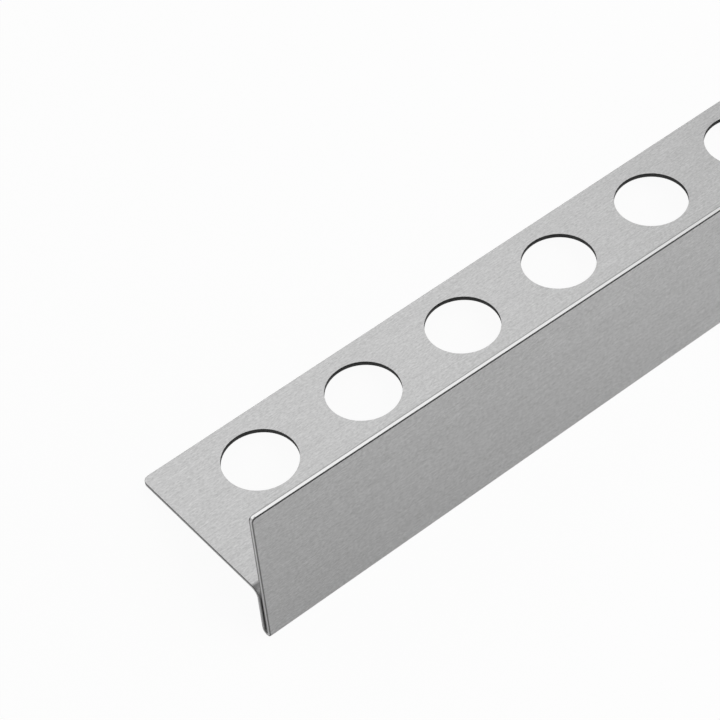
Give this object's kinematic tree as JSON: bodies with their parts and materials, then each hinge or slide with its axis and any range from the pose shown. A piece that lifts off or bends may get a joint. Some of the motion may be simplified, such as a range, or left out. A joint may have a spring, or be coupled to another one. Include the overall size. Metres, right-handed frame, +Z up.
{
  "type": "shower slope wedge profile",
  "caption": "Folded stainless sheet profile: perforated fixing leg, closed hem, and a tall face whose free edge falls along its length to follow a sloping shower floor.",
  "frame": {"origin": "centre of the bounding box on the floor that the profile lies on", "axes": "+X along the length from the tall end to the low end, +Y from the face towards the leg's free edge, +Z up"},
  "size_m": [0.99, 0.039, 0.0332],
  "materials": {
    "brushed_stainless": "satin, brushed along the length"
  },
  "bodies": {
    "root": {"wedge_profile": "brushed_stainless"}
  },
  "joints": []
}
